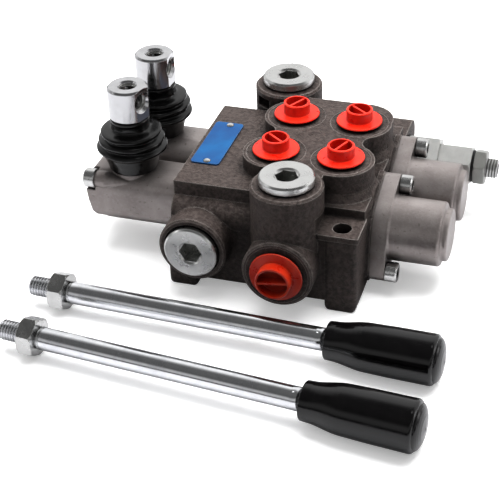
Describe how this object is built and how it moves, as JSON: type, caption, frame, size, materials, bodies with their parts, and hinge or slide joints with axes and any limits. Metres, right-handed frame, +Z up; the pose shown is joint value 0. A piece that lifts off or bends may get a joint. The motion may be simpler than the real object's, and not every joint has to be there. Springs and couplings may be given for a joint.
{
  "type": "hydraulic monoblock valve",
  "caption": "Cast monoblock directional control valve with spools, lever boxes with rubber boots, relief valve, capped ports and loose hand levers.",
  "frame": {"origin": "centre of the two-hole mounting pattern, on the plane of the feet", "axes": "+X along the spools, from the lever boxes towards the spring caps; +Z up; -Y is the front, where the inlet port opens and the loose levers lie"},
  "size_m": [0.2086, 0.2264, 0.0895],
  "materials": {
    "cast_iron": "matte as-cast",
    "plate_blue": "satin",
    "zinc": "bright zinc plated",
    "seal_rubber": "satin",
    "cap_red": "glossy",
    "ground_steel": "ground",
    "dark_steel": "blued",
    "spring_steel": "satin",
    "cast_aluminium": "as-cast, matte",
    "seat_plastic": "satin",
    "boot_rubber": "glossy",
    "chrome_rod": "polished",
    "grip_black": "glossy"
  },
  "bodies": {
    "housing": {"valve_body": "cast_iron", "nameplate": "plate_blue", "nameplate_rivets": "zinc", "front_top_plug": "zinc", "rear_top_plug": "zinc", "side_plug": "zinc", "plug_seals": "seal_rubber", "spool_seals": "seal_rubber", "spring_cap_1": "cast_aluminium", "spring_cap_2": "cast_aluminium", "spring_cap_screws": "zinc", "lever_box_1": "cast_aluminium", "lever_box_2": "cast_aluminium", "lever_box_screws": "zinc", "pivot_seats": "seat_plastic", "boot_1": "boot_rubber", "boot_2": "boot_rubber", "relief_body": "zinc", "relief_seals": "seal_rubber"},
    "spool_1_set": {"spool_1": "ground_steel", "spring_bolt_1": "dark_steel", "spring_cups_1": "dark_steel", "return_spring_1": "spring_steel"},
    "spool_2_set": {"spool_2": "ground_steel", "spring_bolt_2": "dark_steel", "spring_cups_2": "dark_steel", "return_spring_2": "spring_steel"},
    "lever_1": {"lever_stem_1": "ground_steel", "lever_socket_1": "zinc"},
    "lever_2": {"lever_stem_2": "ground_steel", "lever_socket_2": "zinc"},
    "locknut": {"relief_locknut": "zinc"},
    "adjuster": {"relief_adjuster": "zinc"},
    "relief_cone": {"relief_poppet": "ground_steel", "relief_spring": "spring_steel"},
    "check_cone": {"check_poppet": "ground_steel", "check_spring": "spring_steel"},
    "cap_a1": {"port_cap_a1": "cap_red"},
    "cap_b1": {"port_cap_b1": "cap_red"},
    "cap_a2": {"port_cap_a2": "cap_red"},
    "cap_b2": {"port_cap_b2": "cap_red"},
    "cap_inlet": {"inlet_cap": "cap_red"},
    "hand_lever_1": {"lever_rod_1": "chrome_rod", "lever_nut_1": "zinc", "lever_grip_1": "grip_black"},
    "hand_lever_2": {"lever_rod_2": "chrome_rod", "lever_nut_2": "zinc", "lever_grip_2": "grip_black"}
  },
  "joints": [
    {"name": "lever_1_tilt", "type": "hinge", "parent": "housing", "child": "lever_1", "pos_m": [-0.078, -0.019, 0.0465], "axis": [0, 1, 0], "range_deg": [-18, 18], "stiffness_Nm_per_rad": 3.6, "deforming": ["boot_1"]},
    {"name": "spool_1_slide", "type": "slide", "parent": "housing", "child": "spool_1_set", "axis": [1, 0, 0], "range_m": [-0.006, 0.006]},
    {"name": "lever_2_tilt", "type": "hinge", "parent": "housing", "child": "lever_2", "pos_m": [-0.078, 0.019, 0.0465], "axis": [0, 1, 0], "range_deg": [-18, 18], "stiffness_Nm_per_rad": 3.6, "deforming": ["boot_2"]},
    {"name": "spool_2_slide", "type": "slide", "parent": "housing", "child": "spool_2_set", "axis": [1, 0, 0], "range_m": [-0.006, 0.006]},
    {"name": "relief_locknut_turn", "type": "hinge", "parent": "housing", "child": "locknut", "pos_m": [0.09, 0.0505, 0.027], "axis": [1, 0, 0], "range_deg": [-180, 180]},
    {"name": "relief_adjuster_turn", "type": "hinge", "parent": "housing", "child": "adjuster", "pos_m": [0.09, 0.0505, 0.027], "axis": [1, 0, 0], "range_deg": [-180, 180]},
    {"name": "relief_poppet_lift", "type": "slide", "parent": "housing", "child": "relief_cone", "axis": [1, 0, 0], "range_m": [0, 0.002], "stiffness_N_per_m": 5000},
    {"name": "check_poppet_lift", "type": "slide", "parent": "housing", "child": "check_cone", "axis": [0, 0, 1], "range_m": [0, 0.003]},
    {"name": "port_cap_a1_lift", "type": "slide", "parent": "housing", "child": "cap_a1", "axis": [0, 0, 1], "range_m": [0, 0.045]},
    {"name": "port_cap_b1_lift", "type": "slide", "parent": "housing", "child": "cap_b1", "axis": [0, 0, 1], "range_m": [0, 0.045]},
    {"name": "port_cap_a2_lift", "type": "slide", "parent": "housing", "child": "cap_a2", "axis": [0, 0, 1], "range_m": [0, 0.045]},
    {"name": "port_cap_b2_lift", "type": "slide", "parent": "housing", "child": "cap_b2", "axis": [0, 0, 1], "range_m": [0, 0.045]},
    {"name": "inlet_cap_pull", "type": "slide", "parent": "housing", "child": "cap_inlet", "axis": [0, -1, 0], "range_m": [0, 0.009]},
    {"name": "hand_lever_1_lift", "type": "slide", "parent": "housing", "child": "hand_lever_1", "axis": [0, 0, 1], "range_m": [0, 0.06]},
    {"name": "hand_lever_2_lift", "type": "slide", "parent": "housing", "child": "hand_lever_2", "axis": [0, 0, 1], "range_m": [0, 0.06]}
  ],
  "couplings": [
    {"joint": "spool_1_slide", "follows": "lever_1_tilt", "m_per_rad": -0.0188},
    {"joint": "spool_2_slide", "follows": "lever_2_tilt", "m_per_rad": -0.0188}
  ]
}
